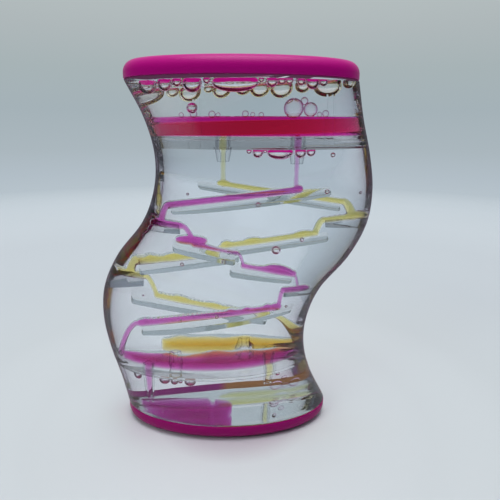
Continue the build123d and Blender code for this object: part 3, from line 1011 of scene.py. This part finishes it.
# Air: domes under the top end and the trays, and loose bubbles
bubbles = {
    "detail": 4,
    "flatTop": 0.45,
    "gap": 0.05,
    "reach": 2.8,
    "wallGap": 0.25,
    "breadth": 0.98,
    "squash": 0.94,
    "foamSquash": 0.8,
    "foamGap": 1,
    # Height as a share of the half width, greatest height, and each dome's middle and half width
    "frontCeiling": (0.95, 2.9, (
        (-28.3, 3.5), (-22.1, 2.6), (-17.9, 1.7), (-12.8, 3.3), (-8, 1.2), (1.2, 7.8), (9.6, 0.9), (13.1, 2.0),
        (16.3, 1.4), (18.8, 1.3), (22.7, 1.5), (26.5, 2.3), (30.3, 1.5),
    )),
    "rearCeiling": (0.95, 3.6, (
        (-28, 6.4), (-19, 2.1), (-13.5, 3.6), (-7.5, 1.6), (-3.2, 3.2), (3.8, 2.7), (9.4, 3.4), (16.5, 3.8),
        (23.4, 2.6), (31.2, 4.5), (37.7, 1.7),
    )),
    "frontTray": (0.95, 2.2, ((5.9, 0.9), (8.9, 1.9), (11.3, 0.7), (16.4, 4.5), (23.3, 2.0), (26.9, 1.6))),
    "frontLowTray": (1.0, 1.8, ((-37.7, 1.8), (-26.7, 2.2), (-22.8, 1.6), (-20.4, 0.9), (-16.7, 2.3))),
    # Each loose bubble's place, level, radius, side, and share of the way from panel to wall
    "loose": (
        (-13, 56.2, 1.9, front, 0.5), (34.8, 40, 0.9, front, 0.7), (9.3, 23, 0.9, front, 0.8),
        (33.4, 27, 0.85, front, 0.6), (15.8, 5, 1.7, front, 0.3), (25.5, 7, 0.8, rear, 0.4),
        (-15.4, 25.7, 0.55, front, 0.7), (-29.3, -9.5, 0.75, rear, 0.5), (-34.5, -19.6, 0.45, rear, 0.5),
        (-18.4, -0.5, 0.75, front, 0.7), (-3, 1.6, 0.7, front, 0.7), (-6.3, -20.7, 0.75, front, 0.7),
        (4.8, -23.4, 0.7, front, 0.7), (-8.7, -25.8, 0.45, front, 0.7), (19.6, -18, 0.6, front, 0.6),
        (-19.7, -22.2, 0.45, front, 0.7), (45.4, 25, 0.55, rear, 0.4), (15, -55.6, 0.9, rear, 0.4),
    ),
    # Thin bubbles on the pink band: place, height above it and radius
    "foam": (
        (-16.8, 0.5, 0.9), (-12.6, 0.8, 1.3), (-6.4, 0.6, 1.2), (-4.4, 0.4, 0.8), (4.6, 0.7, 1.1), (7, 0.5, 0.8),
        (9.8, 0.4, 0.9), (20.5, 2.6, 3.3), (24, 4.9, 1.3), (26.2, 2.2, 2.4), (29.3, 0.6, 0.9), (31.5, 0.9, 1.2),
    ),
    # The same where the yellow thread lands: place, level and radius
    "bottomFoam": ((14.6, -61.6, 2.3), (21.4, -61.8, 2.0), (18, -62.3, 1.2), (17.4, -58.4, 1.1)),
}


def domeSeeds(side, row, ceiling):
    # Flat-topped bubbles that hang from a ceiling against the outer wall
    squat, deepest, spans = bubbles[row]
    seeds = []
    for x, half in spans:
        deep = min(half * squat, deepest)
        reach = min(half, bubbles["reach"])
        y = wallY(x, ceiling, wall) - reach - bubbles["wallGap"]
        z = ceiling - bubbles["gap"] - bubbles["flatTop"] * deep
        seeds.append(((x, side * y, z), (half * bubbles["breadth"], reach, deep)))
    return seeds


def looseSeeds():
    seeds = []
    for x, z, radius, side, share in bubbles["loose"]:
        near, far = panelHalf + radius, wallY(x, z, wall) - radius
        seeds.append(((x, side * (near + (far - near) * share), z), (radius, radius, radius * bubbles["squash"])))
    return seeds


def foamSeeds():
    surface = trayOuter + pools["upperDepth"][front]
    gap = bubbles["foamGap"]
    seeds = [((x, front * (wallY(x, surface, wall) - radius - gap), surface + lift), (radius,) * 3)
             for x, lift, radius in bubbles["foam"]]
    return seeds + [((x, wellOffset - gap, z), (radius, radius, radius * bubbles["foamSquash"]))
                    for x, z, radius in bubbles["bottomFoam"]]


airGraph = bubbleGraph()
air = {"Detail": bubbles["detail"], "Material": clear["airBubble"], "Top Material": paintedCapDaylight, "Top From": 2.0}
hanging = air | {"Flat Top": bubbles["flatTop"]}
floating = air | {"Flat Top": 1.0}
frontDomes = domeSeeds(front, "frontCeiling", chamberHalf)
frontDomes += domeSeeds(front, "frontTray", plateInner)
rearDomes = domeSeeds(rear, "rearCeiling", chamberHalf)
lowDomes = domeSeeds(front, "frontLowTray", -plateOuter)
for name, inputs, seeds, slotName in (
    ("frontAirDomes", hanging | {"Top From": 0.25}, frontDomes, "clear_liquid"),
    ("rearAirDomes", hanging | {"Material": clear["airBubbleRear"]}, rearDomes, "clear_liquid"),
    ("lowAirDomes", hanging, lowDomes, "clear_liquid"),
    ("airBubbles", floating, looseSeeds(), "clear_liquid"),
    ("foamBubbles", floating | {"Material": clear["bubbleFilm"]}, foamSeeds(), "pink_liquid"),
):
    grow(name, airGraph, inputs, seeds, "size")
print("bubbles made")

for nodeName, node in nodes.items():
    if node.hide_render:
        continue
    # The upper risers stand in the coloured bands and hardly show
    isUpperRiser = "riser" in nodeName and "upper" in nodeName
    node.data.materials.clear()
    node.data.materials.append(clear["clearPlasticTube" if isUpperRiser else "clearPlasticWell"])
print("CAD nodes finished")


# Floor and backdrop: one round sheet that curves up into a wall
stage = {
    "floorRadii": (0.0, 200.0, 400.0),
    "floorRadius": 620.0,
    "sweepRadius": 240.0,
    "sweepSteps": 24,
    "wallHeight": 900.0,
    "columns": 96,
    # Wall colour by height, as a share of the wall's
    "wallStops": (
        (0.0, (0.485, 0.558, 0.61)), (0.037, (0.445, 0.515, 0.571)),
        (0.087, (0.405, 0.472, 0.513)), (0.172, (0.374, 0.443, 0.478)),
        (0.26, (0.386, 0.451, 0.468)), (0.344, (0.425, 0.476, 0.489)),
        (0.43, (0.462, 0.515, 0.521)), (1.0, (0.6, 0.66, 0.68)),
    ),
    # Floor colour by distance from the middle, as a share of the span in metres: a painted contact shadow at the
    # vessel's foot, a painted lighter ring just outside it, and rings that even out the lamps' falloff as painted
    # light
    "floorSpan": 0.7,
    "floorStops": (
        (0.036, (0.6, 0.585, 0.635)), (0.05, (0.705, 0.748, 0.775)),
        (0.12, (0.585, 0.622, 0.645)), (0.19, (0.55, 0.586, 0.609)),
        (0.32, (0.568, 0.606, 0.641)), (0.49, (0.624, 0.664, 0.702)),
        (0.64, (0.71, 0.755, 0.796)), (0.85, (0.795, 0.845, 0.89)),
    ),
    # The room is darker to the sides and in front of the backdrop
    "roomShade": 0.26,
    "roomRise": 1.9,
    "roomStart": 0.25,
    "wallRise": 80.0,
}


def makeStage():
    tree = newTree("paleStage")
    place = objectPlace(tree)
    height = partOf(tree, place, 2)
    away = tree.add("ShaderNodeVectorMath", {0: place}, operation="NORMALIZE")
    distance = tree.add("ShaderNodeVectorMath", {0: place}, 1, operation="LENGTH")
    rise = height * (1 / (stage["wallHeight"] * mm))
    backdrop = tree.add("ShaderNodeValToRGB", {0: rise}, stops=stage["wallStops"])
    shade = (partOf(tree, away, 1) * stage["roomRise"] - stage["roomStart"]).clipped()
    share = shade * (1 - stage["roomShade"]) + stage["roomShade"]
    shaded = mixColour(tree, share, (0, 0, 0, 1), backdrop)
    glow = tree.add("ShaderNodeEmission", {"Color": shaded})
    floor = tree.add("ShaderNodeValToRGB", {0: distance * (1 / stage["floorSpan"])}, stops=stage["floorStops"])
    matt = tree.add("ShaderNodeBsdfDiffuse", {"Color": floor})
    material = tree.finish(mixShader(tree, (height * stage["wallRise"]).clipped(), matt, glow))
    start, sweep = stage["floorRadius"], stage["sweepRadius"]
    profile = [(radius, 0.0) for radius in stage["floorRadii"]]
    profile += [(start + sweep * sin(angle), sweep * (1 - cos(angle))) for angle in quarter(stage["sweepSteps"])]
    profile.append((start + sweep, stage["wallHeight"]))
    bm = bmesh.new()
    rings = [[bm.verts.new((radius * cos(angle) * mm, radius * sin(angle) * mm, z * mm))
              for angle in fullTurn(stage["columns"])] for radius, z in profile]
    for low, high in zip(rings, rings[1:]):
        for a, b, c, d in zip(low, low[1:] + low[:1], high[1:] + high[:1], high):
            bm.faces.new((a, b, c, d))
    bmesh.ops.remove_doubles(bm, verts=bm.verts, dist=1e-6)
    mesh = bpy.data.meshes.new("stage")
    bm.to_mesh(mesh)
    bm.free()
    mesh.materials.append(material)
    mesh.shade_smooth()
    newObject("stage", mesh)


makeStage()


# Light
light = {
    "world": (0.62, 0.66, 0.7),
    "worldStrength": 0.8,
    "target": (0, 0, 0.07),
    # Name, place, breadth, power, and whether it shows in glossy surfaces
    "lamps": (("topSoftbox", (0.02, -0.02, 0.75), 0.55, 4.3, True),
              ("leftSoftbox", (-0.55, -0.45, 0.55), 0.35, 1.0, False)),
}


def makeLights():
    world = bpy.data.worlds.new("studio")
    scene.world = world
    tree = Tree(world)
    tree.finish(tree.add("ShaderNodeBackground", {"Color": (*light["world"], 1), "Strength": light["worldStrength"]}))
    for name, spot, size, power, isGlossy in light["lamps"]:
        lamp = bpy.data.lights.new(name, "AREA")
        lamp.shape = "DISK"
        lamp.size = size
        lamp.energy = power
        holder = newObject(name, lamp)
        holder.location = spot
        holder.rotation_euler = (Vector(light["target"]) - Vector(spot)).to_track_quat("-Z", "Y").to_euler()
        holder.visible_glossy = isGlossy
        holder.visible_transmission = False


makeLights()

# Camera, as fitted to the outline of the vessel in the photograph
shot = {
    "place": (0.0041, -0.17365, 0.12235),
    "pitch": 0.2723,
    "yaw": 0.0147,
    "roll": 0.0067,
    "lens": 31.93,
    "sensor": 36,
    "nearest": 0.01,
}


def makeCamera():
    data = bpy.data.cameras.new("camera")
    data.lens = shot["lens"]
    data.sensor_width = shot["sensor"]
    data.clip_start = shot["nearest"]
    camera = newObject("camera", data)
    forward = Vector((sin(shot["yaw"]) * cos(shot["pitch"]),
                      cos(shot["yaw"]) * cos(shot["pitch"]), -sin(shot["pitch"])))
    turn = forward.to_track_quat("-Z", "Y").to_matrix()
    camera.matrix_world = (turn @ Matrix.Rotation(shot["roll"], 3, "Z")).to_4x4()
    camera.location = shot["place"]
    scene.camera = camera


makeCamera()

# Light has to cross many clear walls
for key, value in (("max_bounces", 40), ("transmission_bounces", 40), ("transparent_max_bounces", 40),
                   ("glossy_bounces", 16), ("diffuse_bounces", 3), ("use_denoising", True), ("blur_glossy", 0.2)):
    setattr(scene.cycles, key, value)
scene.view_settings.view_transform = "Standard"
print("stage, light and camera made")
